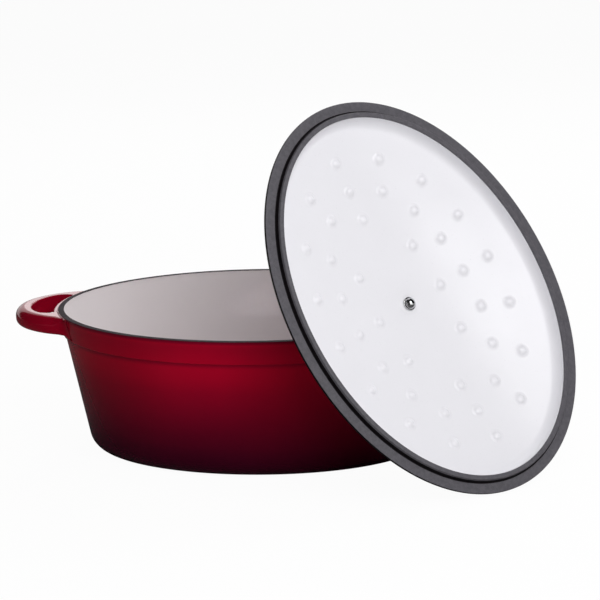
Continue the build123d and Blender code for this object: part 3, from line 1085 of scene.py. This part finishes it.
# ---------------------------------------------------------------- lid
@dataclass
class Lid:
    """Domed lid in its own frame, with its seat at height nought, and the lean that it stands at."""

    half: Pair = (0.1554, 0.11665)
    flange: float = 0.0082
    thick: float = 0.0044
    flange_ease: float = 0.0007  # radius of the flange's lower edge
    shoulder_ease: float = 0.0028  # radius of its upper edge
    lip: float = 0.0043  # depth of the locating ridge
    lip_width: float = 0.0048
    lip_slope: float = 0.0014  # how far its outer side slopes in
    lip_ease: float = 0.0007  # radius of the ridge's outer edge
    lip_inner_ease: float = 0.0005  # radius of its inner edge
    seat_shade_width: float = 0.0007  # width of the line of painted shade on the seat beside the ridge
    ridge_foot_ease: float = 0.0003  # radius of the corner at the ridge's foot
    ridge_shade_share: float = 0.62  # share of the ridge's depth that the painted shade covers
    bare: Pair = (0.0012, 0.62)  # reach in from the outline, and share of the thickness, of the bare edge
    dish_rim: float = 0.0055  # height at which the dish meets its side
    dish: float = 0.0224  # height of the dish's middle
    cove: float = 0.009  # radius between the dish and its side
    wall: float = 0.0045  # thickness of the dome
    dome_corner: float = 0.009  # radius between the dome and its side
    dome_foot: float = 0.0025  # radius between that side and the flange
    bump: Pair = (0.0080, 0.0017)  # width and depth of a basting bump
    bump_foot: float = 0.0014  # half width of the round at its foot
    bump_back: float = 0.001  # how far its back is inside the metal
    bump_start: Pair = (0.0004, 0.0008)  # radii of its first two rings
    bump_rings: int = 16  # rings from the second on
    bump_back_step: int = 3  # rings of the face for each ring of the back
    bump_around: int = 32  # points round each
    # inset and number of the bumps in each outer ring
    outer_rings: tuple[tuple[float, int], ...] = ((0.0397, 16), (0.0624, 16))
    inner_ring: float = 0.0848  # inset of the inner ring of bumps
    inner_angles: tuple[float, ...] = (0, 60, 90, 120, 180, 240, 270, 300)  # angles of its bumps, in degrees
    knob_pad: Pair = (0.030, 0.0008)  # width and height of the pad under the knob
    washer_pad: Pair = (0.014, 0.0003)  # width and depth of the pad under the washer
    pad_rise: float = 0.0006  # width of the step at a pad's edge
    dome_rings: int = 26  # rings from the section in to where the ovals are round
    round_from: float = 0.012  # how far outside a pad's edge that is
    # runs of rings beside a pad's edge: from and to this far outside it, and how many
    pad_rings: tuple[tuple[float, float, int], ...] = ((0.010, 0.0015, 5), (0.001, -0.001, 9))
    pad_flat: tuple[float, int] = (0.003, 6)  # where the rings on a pad start inside its edge, and how many
    hole: float = 0.0029
    lip_white: int = 3  # last rings of the ridge that take the inner glaze
    turn: float = radians(43.9)  # heading of the lean, round from -Y
    lean: float = radians(26.0)  # angle between the lid's plane and upright
    spin: float = radians(107.3)  # of the long axis, from level, in the lid's own plane
    skirt_gap: float = 0.0015  # longest distance between the flange's rings
    around: int = 340

    @property
    def dish_half(self) -> Pair:
        """Half axes of the dished underside."""
        inset = self.flange + self.lip_width
        return self.half[0] - inset, self.half[1] - inset

    @property
    def dome_half(self) -> Pair:
        """Half axes of the dome's side."""
        return self.dish_half[0] + self.wall, self.dish_half[1] + self.wall

    @property
    def dome_rim(self) -> float:
        """Height at which the dome would meet its side."""
        return self.dish_rim + self.wall

    @property
    def crown(self) -> float:
        """Height of the dome's middle."""
        return self.dish + self.wall

    @property
    def knob_seat(self) -> float:
        """Height of the pad that the knob stands on."""
        return self.crown + self.knob_pad[1]

    @property
    def washer_seat(self) -> float:
        """Height of the pad that the washer lies against."""
        return self.dish - self.washer_pad[1]

    @property
    def place(self) -> Matrix:
        """The lid's frame in the row's frame: turned by its angles, and moved so that its casting's box has
        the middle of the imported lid's box.

        Returns:
            The frame.
        """
        away = Vector((sin(self.turn), -cos(self.turn), 0))
        level = Vector((cos(self.turn), sin(self.turn), 0))
        upslope = away * -sin(self.lean) + Vector((0, 0, cos(self.lean)))
        dome_side = away * -cos(self.lean) - Vector((0, 0, sin(self.lean)))
        along = level * cos(self.spin) + upslope * sin(self.spin)
        turned_only = Matrix((along, dome_side.cross(along), dome_side)).transposed()
        points = self.casting().points() @ np.array(turned_only).T
        low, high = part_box("lid")
        shift = (low + high) / 2 - Vector((points.min(0) + points.max(0)) / 2)
        return Matrix.Translation(shift) @ turned_only.to_4x4()

    def underside(self, x: Array, y: Array) -> Array:
        """Height of the dished underside over (x, y)."""
        return dome_height(self.dish_half, self.dish_rim, self.dish, x, y)

    def crown_rings(self, half: Pair, rim: float, crown: float, pad: Pair, reach: float) -> Array:
        """Rings of a dome from an oval at share reach of its half axes in to the screw's hole.

        The ovals become circles on the way in, and each point is lifted to the dome. Inside the pad's radius
        the height is the pad's, and a smooth step at its edge leads to the dome.

        Args:
            half: half axes of the dome.
            rim: height that the dome's arc starts at.
            crown: its height in the middle.
            pad: width of the flat pad, and its height.
            reach: share of the half axes at which the first ring lies.

        Returns:
            Points, (rings, around, 3), from outside in.
        """
        edge, narrower = pad[0] / 2, half[0] - half[1]
        far = np.linspace(reach, (edge + self.round_from) / half[0], self.dome_rings)
        out = np.stack([half[0] * far, half[1] * far + narrower * far * ramp(far, reach, far[-1])], -1)
        near = np.concatenate([*(np.linspace(edge + start, edge + stop, count)
                                 for start, stop, count in self.pad_rings),
                               np.linspace(edge - self.pad_flat[0], self.hole, self.pad_flat[1])])
        axes = np.vstack([out, np.stack([near, near], -1)])
        rings = oval_rings(axes[:, 0], axes[:, 1], np.zeros(len(axes)), self.around)
        x, y = rings[..., 0], rings[..., 1]
        inside = ramp(np.hypot(x, y), edge + self.pad_rise / 2, edge - self.pad_rise / 2)
        rings[..., 2] = dome_height(half, rim, crown, x, y) * (1 - inside) + pad[1] * inside
        return rings

    def skirt(self) -> Array:
        """Line from the dome's foot over the flange, along the seat and over the ridge, its corners rounded.

        Returns:
            Points (inset, height), one row each.
        """
        dome, flange, share = self.half[0] - self.dome_half[0], self.flange, self.ridge_shade_share
        inner = flange + self.lip_width
        return spaced(rounded([
            (dome, self.thick + self.dome_foot * SLACK, 0), (dome, self.thick, self.dome_foot),
            (0, self.thick, self.shoulder_ease), (0, 0, self.flange_ease), (flange - self.seat_shade_width, 0, 0),
            (flange, 0, self.ridge_foot_ease), (flange + self.lip_slope * share, -self.lip * share, 0),
            (flange + self.lip_slope, -self.lip, self.lip_ease), (inner, -self.lip, self.lip_inner_ease),
            (inner, 0, 0)]), self.skirt_gap)

    def skirt_zones(self, skirt: Array) -> Array:
        """Zone of the band after each point of the skirt: glaze, then the bare seat with its two lines of
        painted shade in black, on the flange's outer side and beside and down the ridge, and the inner glaze
        on the ridge's last rings.

        Args:
            skirt: points (inset, height).

        Returns:
            Slot numbers, one each.
        """
        across, up = skirt.T
        zones = np.full(len(skirt), Zone.OUTER_GLAZE.value)
        seat = int(np.argmax((across < self.bare[0]) & (up < self.thick * self.bare[1])))
        painted_shade = (across > self.flange - self.seat_shade_width * SLACK) & (up < self.thick / 2)
        painted_shade &= up > -self.lip * self.ridge_shade_share / SLACK
        painted_shade |= (across < self.flange_ease) & (up > self.flange_ease / 2)
        zones[seat:] = np.where(painted_shade, Zone.PAINTED_SHADE.value, Zone.BARE_EDGE.value)[seat:]
        zones[-self.lip_white:] = Zone.INNER_GLAZE.value
        return zones

    def casting(self) -> Skin:
        """Skin of the lid without its bumps.

        A line of (inset, height) or (share, height) points runs from the screw's hole out over the dome,
        down its side, over the flange and its edge, in along the seat, over the ridge, and up into the dish
        to the hole again. The dome's and the dish's rings are shares of their half axes; the flange's and
        the ridge's are the lid's half axes less an inset. The hole's wall joins the last ring to the first.
        The tone falls from 1 in the middle to 0 at the outline.

        Returns:
            The skin.
        """
        dome = self.dome_half, self.dome_rim, self.crown
        dish = self.dish_half, self.dish_rim, self.dish
        top = self.section(*dome, self.dome_corner, self.thick + self.dome_foot)
        low = self.section(*dish, self.cove, 0.0)
        skirt = self.skirt()
        before = [self.crown_rings(*dome, (self.knob_pad[0], self.knob_seat), top[0, 0])[:0:-1],
                  share_rings(self.dome_half, top, self.around)]
        after = [share_rings(self.dish_half, low[::-1], self.around),
                 self.crown_rings(*dish, (self.washer_pad[0], self.washer_seat), low[0, 0])[1:]]
        zones = np.concatenate([np.full(sum(map(len, before)), Zone.OUTER_GLAZE.value),
                                self.skirt_zones(skirt),
                                np.full(sum(map(len, after)), Zone.INNER_GLAZE.value)])
        rings = np.concatenate([*before, inset_rings(self.half, skirt, self.around), *after])
        share = np.hypot(rings[..., 0] / self.half[0], rings[..., 1] / self.half[1])
        return Skin(rings, zones, looped=True, tone=1 - share)

    @staticmethod
    def section(half: Pair, rim: float, crown: float, corner: float, foot: float) -> Array:
        """Line (share of the half axes, height) of a dome's outer part, round its corner and down its side.

        The dome is an arc and the side is upright. Their corner is an arc tangent to both: its centre is the
        corner radius in from the side, and the same nearer to the dome's centre than the dome.

        Args:
            half: half axes of the dome.
            rim: height at which the arc would meet the side.
            crown: height of the middle.
            corner: radius of the corner.
            foot: height that the side ends at.

        Returns:
            Points, one row each.
        """
        radius = arc_radius(half[0], crown - rim)
        centre = crown - radius
        across = half[0] - corner
        up = centre + sqrt((radius - corner) ** 2 - across**2)
        lean = np.arctan2(across, up - centre)
        x = np.linspace(half[0] * DOME_FROM, radius * np.sin(lean), DOME_POINTS[0])
        dome = np.stack([x, centre + np.sqrt(radius**2 - x**2)], -1)
        bend = np.linspace(pi / 2 - lean, 0, DOME_POINTS[1])[1:]
        edge = np.stack([across + corner * np.cos(bend), up + corner * np.sin(bend)], -1)
        side = np.array([[half[0], foot]]) if foot < up else np.zeros((0, 2))
        return np.vstack([dome, edge, side]) / [half[0], 1]

    def bump_places(self) -> Array:
        """Middles (x, y) of the basting bumps: two rings at even steps of length along their ovals, and an
        inner one at its own angles.

        Returns:
            Points (x, y), one row each.
        """

        def oval(inset: float, t: Array) -> Array:
            """Points of the lid's oval at an inset."""
            return np.stack([(self.half[0] - inset) * np.cos(t), (self.half[1] - inset) * np.sin(t)], -1)

        round_once = np.linspace(0, 2 * pi, 3601)
        places = [evenly(oval(inset, round_once), count) for inset, count in self.outer_rings]
        return np.vstack([*places, oval(self.inner_ring, np.radians(self.inner_angles))])

    def bumps(self) -> list[Skin]:
        """A closed lens for each bump, half sunk in the metal.

        Its height below the dish is a ball's cap, and from a little inside its edge the square of the share
        of the way left, so that the bump flows into the dish. Its back follows the dish inside the metal.

        Returns:
            The skins.
        """
        across, deep = self.bump
        ball = arc_radius(across / 2, deep)
        join, end = across / 2 - self.bump_foot, across / 2 + self.bump_foot
        first, second = self.bump_start
        reach = np.concatenate([[first], np.linspace(second, end, self.bump_rings)])
        cap = np.sqrt(ball**2 - np.minimum(reach, join) ** 2) - (ball - deep)
        left = (end - np.maximum(reach, join)) / (end - join)
        drop = cap * left**2
        t = np.arange(self.bump_around) * 2 * pi / self.bump_around
        skins = []
        for x0, y0 in self.bump_places():
            x, y = x0 + reach[:, None] * np.cos(t), y0 + reach[:, None] * np.sin(t)
            face = np.stack([x, y, self.underside(x, y) - drop[:, None]], -1)
            back = face[::-self.bump_back_step].copy()
            back[..., 2] = self.underside(back[..., 0], back[..., 1]) + self.bump_back
            rings = np.concatenate([face, back])
            skins.append(Skin(rings, np.zeros(len(rings), int)))
        return skins

    def build(self, finishes: Finishes) -> list[bpy.types.Object]:
        """Makes the lid's pieces and dresses them.

        Args:
            finishes: every finish of the casserole.

        Returns:
            The pieces.
        """
        slots = [finishes.lid_outside, finishes.lid_inside, finishes.seat, finishes.painted_shade_black]
        place = self.place
        body = build("lid_casting", [self.casting()], slots, place)
        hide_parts("lid")
        bumps = build("lid_basting_bumps", self.bumps(), [finishes.lid_inside], place)
        for piece in (body, bumps):
            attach(piece, "lid")
        return [body, bumps]


# ---------------------------------------------------------------- knob
@dataclass
class Knob:
    """Knob on the lid's crown, and the screw with its washer inside."""

    lid: Lid
    across: float = 0.042
    height: float = 0.025
    plate_level: float = 0.0125  # height of its plate's underside
    plate: float = 0.0016
    sheet: float = 0.0014  # thickness of the cap
    crown: float = 0.004  # rise of the cap's arc
    corner: float = 0.005
    side_foot: float = 0.0004  # height above the plate at which the cap's sides end
    lip_rise: float = 0.0003  # height of its lip's straight edges
    lip_ease: float = 0.0002  # radius of the lip's edges
    cap_middle: tuple[float, float, int] = (0.03, 0.28, 8)  # first rings: shares of the radius, number
    neck: float = 0.017
    foot_across: float = 0.025
    foot: float = 0.003
    foot_eases: Pair = (0.0004, 0.0008)  # radii of its lower and upper edge
    waist_rise: float = 0.0004  # slope of the foot's top
    plate_eases: Pair = (0.0005, 0.0003)  # radii of the plate's lower and upper edge
    washer: Pair = (0.0104, 0.0012)
    washer_gap: float = 0.0004  # between the washer and the shank
    washer_eases: tuple[float, float, float] = (0.0001, 0.0005, 0.0002)  # inner, outer lower and outer upper
    head: Pair = (0.0084, 0.0036)
    brim: float = 0.0014  # height of the upright edge of the head
    head_eases: Pair = (0.0003, 0.0002)  # radii of the head's edges
    head_points: int = 14
    shank: float = 0.005
    shank_ease: float = 0.0004  # radius of the shank's end
    shank_rise: float = 0.010  # how far the shank goes up into the knob
    gap: float = 0.0008  # longest distance between rings
    screw_gap: float = 0.0006  # the same on the screw
    around: int = 128  # points round the knob's rings
    small_around: int = 96  # points round the screw's and the washer's rings

    def cap(self) -> Skin:
        """Domed cap: an arc over the top, a rounded shoulder and an upright side, with its inside offset.

        Returns:
            The skin.
        """
        half, bore = self.across / 2, self.across / 2 - self.sheet
        top, low = self.lid.knob_seat + self.height, self.lid.knob_seat + self.plate_level + self.plate
        lip = low + self.lip_rise
        outside = self.cap_line(half, top, self.corner, low)
        inside = self.cap_line(bore, top - self.sheet, self.corner - self.sheet, low)[::-1]
        edge = rounded([
            (half, lip, 0), (half, low, self.lip_ease), (bore, low, self.lip_ease), (bore, lip, 0)], 4)
        return turned(spaced(np.vstack([outside, edge, inside]), self.gap), self.around)

    def cap_line(self, half: float, top: float, corner: float, low: float) -> Array:
        """One side of the cap as (radius, height): its arc from near the axis, its shoulder and its side.

        Args:
            half: radius of the side.
            top: height of the middle.
            corner: radius of the shoulder.
            low: height of the cap's lip.

        Returns:
            Points (radius, height), one row each.
        """
        radius = arc_radius(half, self.crown)
        start, stop, count = self.cap_middle
        x = np.linspace(half * start, half * stop, count)
        middle = np.stack([x, top - radius + np.sqrt(radius**2 - x**2)], -1)
        outer = Lid.section((half, half), top - self.crown, top, corner, low + self.side_foot)
        return np.vstack([middle, outer * [half, 1]])

    def base(self) -> Skin:
        """Turned foot, waist and plate: a line of (radius, height) with its corners rounded.

        Returns:
            The skin.
        """
        seat, low = self.lid.knob_seat, self.lid.knob_seat + self.plate_level
        foot, neck, rim, high = self.foot_across / 2, self.neck / 2, self.across / 2, low + self.plate
        line = rounded([
            (AXIS, seat, 0), (foot, seat, self.foot_eases[0]), (foot, seat + self.foot, self.foot_eases[1]),
            (neck, seat + self.foot + self.waist_rise, neck / 2), (neck, low, neck / 2),
            (rim, low, self.plate_eases[0]), (rim, high, self.plate_eases[1]), (AXIS, high, 0)])
        return turned(spaced(line, self.gap), self.around)

    def screw(self) -> Skin:
        """Domed head below the washer and a plain shank up through the lid.

        Returns:
            The skin.
        """
        under, top = self.lid.washer_seat - self.washer[1], self.lid.knob_seat + self.shank_rise
        half, shank, (edge, corner) = self.head[0] / 2, self.shank / 2, self.head_eases
        ball = arc_radius(half, self.head[1] - self.brim)
        x = np.linspace(AXIS, half - edge, self.head_points)
        cap = np.stack([x, under - self.head[1] + ball - np.sqrt(ball**2 - x**2)], -1)
        rest = rounded([(*cap[-1], 0), (half, under - self.brim, edge), (half, under, corner),
                        (shank, under, 0), (shank, top, self.shank_ease), (AXIS, top, 0)], 6)
        return turned(spaced(np.vstack([cap, rest[1:]]), self.screw_gap), self.small_around)

    def flat_washer(self) -> Skin:
        """Washer with a rounded outer edge, closed round its hole.

        Returns:
            The skin.
        """
        low, high = self.lid.washer_seat - self.washer[1], self.lid.washer_seat
        outer, inner, middle = self.washer[0] / 2, self.shank / 2 + self.washer_gap, (low + high) / 2
        bore, lower, upper = self.washer_eases
        line = rounded([(inner, middle, 0), (inner, low, bore), (outer, low, lower),
                        (outer, high, upper), (inner, high, bore), (inner, middle, 0)], 6)[:-1]
        return turned(line, self.small_around, looped=True)

    def build(self, finishes: Finishes) -> list[bpy.types.Object]:
        """Makes the knob's pieces, dresses them and the bush that stays as packed.

        Args:
            finishes: every finish of the casserole.

        Returns:
            The pieces.
        """
        place = self.lid.place
        made = []
        for name, skin, finish, node, slot in (
                ("knob_cap_dome", self.cap(), finishes.steel, "knob_cap", "knob_steel"),
                ("knob_base_turned", self.base(), finishes.steel, "knob_base", "knob_steel"),
                ("lid_screw_head", self.screw(), finishes.chrome, "lid_screw", "screw_chrome"),
                ("lid_screw_washer", self.flat_washer(), finishes.chrome, "screw_washer", "screw_chrome")):
            piece = build(name, [skin], [finish], place)
            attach(piece, "lid")
            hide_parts(node)
            made.append(piece)
        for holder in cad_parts["knob_bush"].material_slots:
            holder.material = finishes.brass
        return made


# ---------------------------------------------------------------- studio
def facing(towards: Pair, distance: float, aim: Vector) -> Matrix:
    """Place of something that hangs round the object and faces it.

    Args:
        towards: degrees round from -Y towards +X, and degrees above level.
        distance: how far it is from the point that it faces.
        aim: that point.

    Returns:
        Its frame, with -Z towards the aim.
    """
    azimuth, height = (radians(angle) for angle in towards)
    back = Vector((sin(azimuth) * cos(height), -cos(azimuth) * cos(height), sin(height)))
    return Matrix.Translation(aim + back * distance) @ (-back).to_track_quat("-Z", "Y").to_matrix().to_4x4()


@dataclass(frozen=True)
class Softbox:
    """Rectangular soft lamp that the camera doesn't see."""

    name: str
    towards: Pair
    distance: float
    size: Pair
    power: float  # in watts
    mirrored: bool = True  # whether glossy surfaces mirror it
    beam: float = pi  # full angle of its light
    shift: tuple[float, float, float] = (0.0, 0.0, 0.0)

    def hang(self, aim: Vector) -> bpy.types.Object:
        """Hangs the lamp so that it faces the aim, moved by its own shift.


        Returns:
            The lamp.
        """
        data = bpy.data.lights.new(self.name, "AREA")
        data.shape, data.size, data.size_y = "RECTANGLE", *self.size
        data.energy, data.spread = self.power, self.beam
        lamp = stood(self.name, data)
        lamp.matrix_world = facing(self.towards, self.distance, aim + Vector(self.shift))
        lamp.visible_camera, lamp.visible_glossy = False, self.mirrored
        return lamp


@dataclass(frozen=True)
class DarkCard:
    """Round dark card that polished metal and glaze mirror, and that neither shades nor shows."""

    name: str
    towards: Pair
    distance: float
    radius: float
    grey: float = 0.02  # how pale its cloth is
    nap_scale: float = 6.0
    thick: float = 0.0008
    around: int = 48

    def hang(self, aim: Vector) -> bpy.types.Object:
        """Hangs the card so that it faces the aim.


        Returns:
            The card.
        """
        cloth = bpy.data.materials.new(self.name)
        graph = Graph.fresh(cloth)
        nap = graph.noise(graph.where(), self.nap_scale)
        shade = graph.spread(nap, 0.3, 0.7, self.grey * 0.8, self.grey * 1.2)
        graph.add("OutputMaterial", {"Surface": graph.add("BsdfDiffuse", {"Color": shade}).outputs[0]})
        skin = slab(self.radius, self.thick / 2, self.thick, self.around)
        card = build(self.name, [skin], [cloth], facing(self.towards, self.distance, aim))
        for sight in ("camera", "diffuse", "transmission", "shadow"):
            setattr(card, f"visible_{sight}", False)
        return card


@dataclass
class Studio:
    """Pale floor, soft light and the camera."""

    floor_reach: float = 14.0  # its radius
    floor_drop: float = 0.0001  # how far the floor lies under the pot
    floor_thick: float = 0.01
    floor_around: int = 64
    floor_grain: float = 3.0
    floor_white: float = 0.86  # how pale it is
    floor_share: float = 0.96  # how much of its look is plain white
    world_level: float = 0.12  # how strongly the world lights the object
    camera_distance: float = 2.238  # to the middle of the rim, along the view
    camera_pitch: float = radians(13.82)
    camera_roll: float = radians(-2.21)
    camera_turn: float = radians(11.48)  # heading of the view, round from +Y towards -X
    lens: float = 174.97  # millimetres, as is the sensor
    sensor: float = 36.0
    clip: Pair = (0.05, 60.0)  # nearest and farthest distance seen
    aim: Pair = (-0.03303, 0.00284)  # how far right of and above the middle of the rim it looks
    kit_aim: tuple[float, float, float] = (0.03, -0.02, 0.10)  # point that the lamps and cards face

    def floor(self) -> bpy.types.Object:
        """Lays the floor, as a thin closed slab of rings just under the pot.

        Returns:
            The floor.
        """
        paper = bpy.data.materials.new("studio_floor")
        graph = Graph.fresh(paper)
        grain = graph.noise(graph.where(), self.floor_grain)
        shade = graph.spread(grain, 0.3, 0.7, self.floor_white * 0.99, self.floor_white)
        matt = graph.add("BsdfDiffuse", {"Color": shade})
        glow = graph.add("Emission", {"Color": (1, 1, 1, 1), "Strength": 1.0})
        share = graph.maths("MULTIPLY", graph.seen(), self.floor_share)
        mixed = graph.add("MixShader", {0: share, 1: matt.outputs[0], 2: glow.outputs[0]})
        graph.add("OutputMaterial", {"Surface": mixed.outputs[0]})
        skin = slab(self.floor_reach, -self.floor_drop, self.floor_thick, self.floor_around)
        sheet = build("studio_floor", [skin], [paper])
        return sheet

    def world(self) -> None:
        """Sets a world that shows white and lights the object softly."""
        world = bpy.data.worlds.new("studio")
        bpy.context.scene.world = world
        graph = Graph.fresh(world)
        light, shown = (graph.add("Background", {"Color": (1.0, 1.0, 1.0, 1.0), "Strength": strength})
                        for strength in (self.world_level, 1.0))
        mixed = graph.add("MixShader", {0: graph.seen(), 1: light.outputs[0], 2: shown.outputs[0]})
        graph.add("OutputWorld", {"Surface": mixed.outputs[0]})

    def camera(self) -> bpy.types.Object:
        """Stands the camera: it looks along its heading, pitched down and rolled, at a distance from
        the middle of the pot's rim, which it holds a little off the middle of its view.

        Returns:
            The camera.
        """
        ahead = Vector((0, cos(self.camera_pitch), -sin(self.camera_pitch)))
        right, up = Vector((1, 0, 0)), Vector((0, sin(self.camera_pitch), cos(self.camera_pitch)))
        side = right * cos(self.camera_roll) + up * sin(self.camera_roll)
        over = right * -sin(self.camera_roll) + up * cos(self.camera_roll)
        focus = Vector((0, 0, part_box("pot")[1].z))
        heading = Matrix.Rotation(self.camera_turn, 4, "Z")
        spot = focus - heading @ (ahead * self.camera_distance + side * self.aim[0] - over * self.aim[1])
        data = bpy.data.cameras.new("camera")
        data.lens, data.sensor_width = self.lens, self.sensor
        data.clip_start, data.clip_end = self.clip
        camera = stood("camera", data)
        axes = [heading @ axis for axis in (side, over, -ahead)]
        camera.matrix_world = Matrix.Translation(spot) @ Matrix(axes).transposed().to_4x4()
        bpy.context.scene.camera = camera
        return camera

    def lamps(self) -> list[bpy.types.Object]:
        """Hangs the softboxes and the dark cards.

        Returns:
            The lamps and the cards.
        """
        aim = Vector(self.kit_aim)
        kit = (Softbox("key", (27, 35), 1.5, (0.8, 0.8), 9.6, False),
               Softbox("lid_side", (55, 39), 1.5, (0.75, 0.85), 5.8),
               Softbox("overhead", (0, 80), 1.5, (0.9, 0.9), 2.0, False),
               Softbox("behind", (180, 40), 1.5, (0.9, 0.9), 8.0),
               Softbox("right_back", (130, 40), 1.5, (0.8, 0.8), 5.0, False),
               Softbox("rim_strip", (191, 14), 1.6, (0.8, 0.25), 0.8),
               Softbox("glow", (-2, 10), 1.2, (0.04, 0.04), 0.004, False, beam=radians(5.5),
                       shift=(-0.057, -0.09, -0.018)),
               DarkCard("dark_card", (112, 38), 2.6, 2.1),
               DarkCard("left_card", (-92, 36), 2.6, 2.3, 0.06),
               DarkCard("front_card", (8, 60), 2.6, 1.9, 0.06),
               DarkCard("low_left_card", (-32, 9), 2.6, 1.0, 0.06),
               DarkCard("low_front_card", (14, 9), 2.6, 0.95, 0.06),
               DarkCard("floor_card", (0, -90), 0.0994, 2.4, 0.10))
        return [piece.hang(aim) for piece in kit]

    def set_up(self) -> None:
        """Sets up the floor, the light and the camera."""
        self.floor()
        self.world()
        self.camera()
        self.lamps()
        bpy.context.scene.view_settings.view_transform = "Standard"


def main() -> None:
    """Builds the casserole and its studio, and reports each piece."""
    logging.basicConfig(level=logging.INFO, format="%(name)s: %(message)s")
    finishes = Finishes()
    pot, lid = Pot(), Lid()
    for maker in (pot, lid, Knob(lid)):
        for piece in maker.build(finishes):
            log.info("%s: %d faces", piece.name, len(piece.data.polygons))
    Studio().set_up()


if __name__ == "__main__":
    main()
